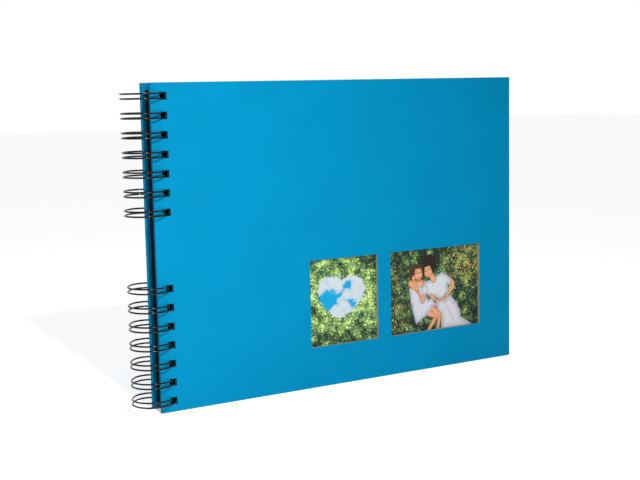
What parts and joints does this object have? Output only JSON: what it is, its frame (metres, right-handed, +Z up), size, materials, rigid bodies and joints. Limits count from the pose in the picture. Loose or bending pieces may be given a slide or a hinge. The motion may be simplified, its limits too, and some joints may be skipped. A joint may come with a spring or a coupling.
{
  "type": "wire-bound scrapbook album",
  "caption": "Landscape photo album with blue hard covers, two picture windows in the front and black card leaves that turn on black twin-loop wire rings at the spine.",
  "frame": {"origin": "on the standing surface, under the middle of the album's outline in X and in Y", "axes": "+X from the rings along the cover's width to the fore edge, +Y from the front cover to the back cover, +Z up; the album stands on its covers' bottom edges with the windowed front cover facing -Y"},
  "size_m": [0.3167, 0.0301, 0.2195],
  "materials": {
    "blue_wrap": "smooth matt coated paper",
    "blue_lining": "matt paper",
    "grey_board": "raw grey board, cut edge",
    "black_card": "matt uncoated card",
    "meadow_print": "satin photographic print",
    "picnic_print": "satin photographic print",
    "black_wire": "black nylon-coated steel wire"
  },
  "bodies": {
    "back_cover": {"back_cover_board": "grey_board", "back_cover_wrap": "blue_wrap", "back_cover_lining": "blue_lining", "upper_wire": "black_wire", "lower_wire": "black_wire"},
    "leaf_20": {"sheet_20": "black_card"},
    "leaf_19": {"sheet_19": "black_card"},
    "leaf_18": {"sheet_18": "black_card"},
    "leaf_17": {"sheet_17": "black_card"},
    "leaf_16": {"sheet_16": "black_card"},
    "leaf_15": {"sheet_15": "black_card"},
    "leaf_14": {"sheet_14": "black_card"},
    "leaf_13": {"sheet_13": "black_card"},
    "leaf_12": {"sheet_12": "black_card"},
    "leaf_11": {"sheet_11": "black_card"},
    "leaf_10": {"sheet_10": "black_card"},
    "leaf_09": {"sheet_09": "black_card"},
    "leaf_08": {"sheet_08": "black_card"},
    "leaf_07": {"sheet_07": "black_card"},
    "leaf_06": {"sheet_06": "black_card"},
    "leaf_05": {"sheet_05": "black_card"},
    "leaf_04": {"sheet_04": "black_card"},
    "leaf_03": {"sheet_03": "black_card"},
    "leaf_02": {"sheet_02": "black_card"},
    "leaf_01": {"sheet_01": "black_card"},
    "front_cover": {"front_cover_board": "grey_board", "front_cover_wrap": "blue_wrap", "front_cover_pocket_card": "blue_lining", "square_window_print": "meadow_print", "wide_window_print": "picnic_print"}
  },
  "joints": [
    {"name": "leaf_20_turn", "type": "hinge", "parent": "back_cover", "child": "leaf_20", "pos_m": [-0.14395, -0.00065, 0], "axis": [0, 0, -1], "range_deg": [0, 180]},
    {"name": "leaf_19_turn", "type": "hinge", "parent": "leaf_20", "child": "leaf_19", "pos_m": [-0.14395, -0.00065, 0], "axis": [0, 0, -1], "range_deg": [0, 180]},
    {"name": "leaf_18_turn", "type": "hinge", "parent": "leaf_19", "child": "leaf_18", "pos_m": [-0.14395, -0.00065, 0], "axis": [0, 0, -1], "range_deg": [0, 180]},
    {"name": "leaf_17_turn", "type": "hinge", "parent": "leaf_18", "child": "leaf_17", "pos_m": [-0.14395, -0.00065, 0], "axis": [0, 0, -1], "range_deg": [0, 180]},
    {"name": "leaf_16_turn", "type": "hinge", "parent": "leaf_17", "child": "leaf_16", "pos_m": [-0.14395, -0.00065, 0], "axis": [0, 0, -1], "range_deg": [0, 180]},
    {"name": "leaf_15_turn", "type": "hinge", "parent": "leaf_16", "child": "leaf_15", "pos_m": [-0.14395, -0.00065, 0], "axis": [0, 0, -1], "range_deg": [0, 180]},
    {"name": "leaf_14_turn", "type": "hinge", "parent": "leaf_15", "child": "leaf_14", "pos_m": [-0.14395, -0.00065, 0], "axis": [0, 0, -1], "range_deg": [0, 180]},
    {"name": "leaf_13_turn", "type": "hinge", "parent": "leaf_14", "child": "leaf_13", "pos_m": [-0.14395, -0.00065, 0], "axis": [0, 0, -1], "range_deg": [0, 180]},
    {"name": "leaf_12_turn", "type": "hinge", "parent": "leaf_13", "child": "leaf_12", "pos_m": [-0.14395, -0.00065, 0], "axis": [0, 0, -1], "range_deg": [0, 180]},
    {"name": "leaf_11_turn", "type": "hinge", "parent": "leaf_12", "child": "leaf_11", "pos_m": [-0.14395, -0.00065, 0], "axis": [0, 0, -1], "range_deg": [0, 180]},
    {"name": "leaf_10_turn", "type": "hinge", "parent": "leaf_11", "child": "leaf_10", "pos_m": [-0.14395, -0.00065, 0], "axis": [0, 0, -1], "range_deg": [0, 180]},
    {"name": "leaf_09_turn", "type": "hinge", "parent": "leaf_10", "child": "leaf_09", "pos_m": [-0.14395, -0.00065, 0], "axis": [0, 0, -1], "range_deg": [0, 180]},
    {"name": "leaf_08_turn", "type": "hinge", "parent": "leaf_09", "child": "leaf_08", "pos_m": [-0.14395, -0.00065, 0], "axis": [0, 0, -1], "range_deg": [0, 180]},
    {"name": "leaf_07_turn", "type": "hinge", "parent": "leaf_08", "child": "leaf_07", "pos_m": [-0.14395, -0.00065, 0], "axis": [0, 0, -1], "range_deg": [0, 180]},
    {"name": "leaf_06_turn", "type": "hinge", "parent": "leaf_07", "child": "leaf_06", "pos_m": [-0.14395, -0.00065, 0], "axis": [0, 0, -1], "range_deg": [0, 180]},
    {"name": "leaf_05_turn", "type": "hinge", "parent": "leaf_06", "child": "leaf_05", "pos_m": [-0.14395, -0.00065, 0], "axis": [0, 0, -1], "range_deg": [0, 180]},
    {"name": "leaf_04_turn", "type": "hinge", "parent": "leaf_05", "child": "leaf_04", "pos_m": [-0.14395, -0.00065, 0], "axis": [0, 0, -1], "range_deg": [0, 180]},
    {"name": "leaf_03_turn", "type": "hinge", "parent": "leaf_04", "child": "leaf_03", "pos_m": [-0.14395, -0.00065, 0], "axis": [0, 0, -1], "range_deg": [0, 180]},
    {"name": "leaf_02_turn", "type": "hinge", "parent": "leaf_03", "child": "leaf_02", "pos_m": [-0.14395, -0.00065, 0], "axis": [0, 0, -1], "range_deg": [0, 180]},
    {"name": "leaf_01_turn", "type": "hinge", "parent": "leaf_02", "child": "leaf_01", "pos_m": [-0.14395, -0.00065, 0], "axis": [0, 0, -1], "range_deg": [0, 180]},
    {"name": "front_cover_turn", "type": "hinge", "parent": "leaf_01", "child": "front_cover", "pos_m": [-0.14395, -0.00065, 0], "axis": [0, 0, -1], "range_deg": [0, 180]}
  ]
}
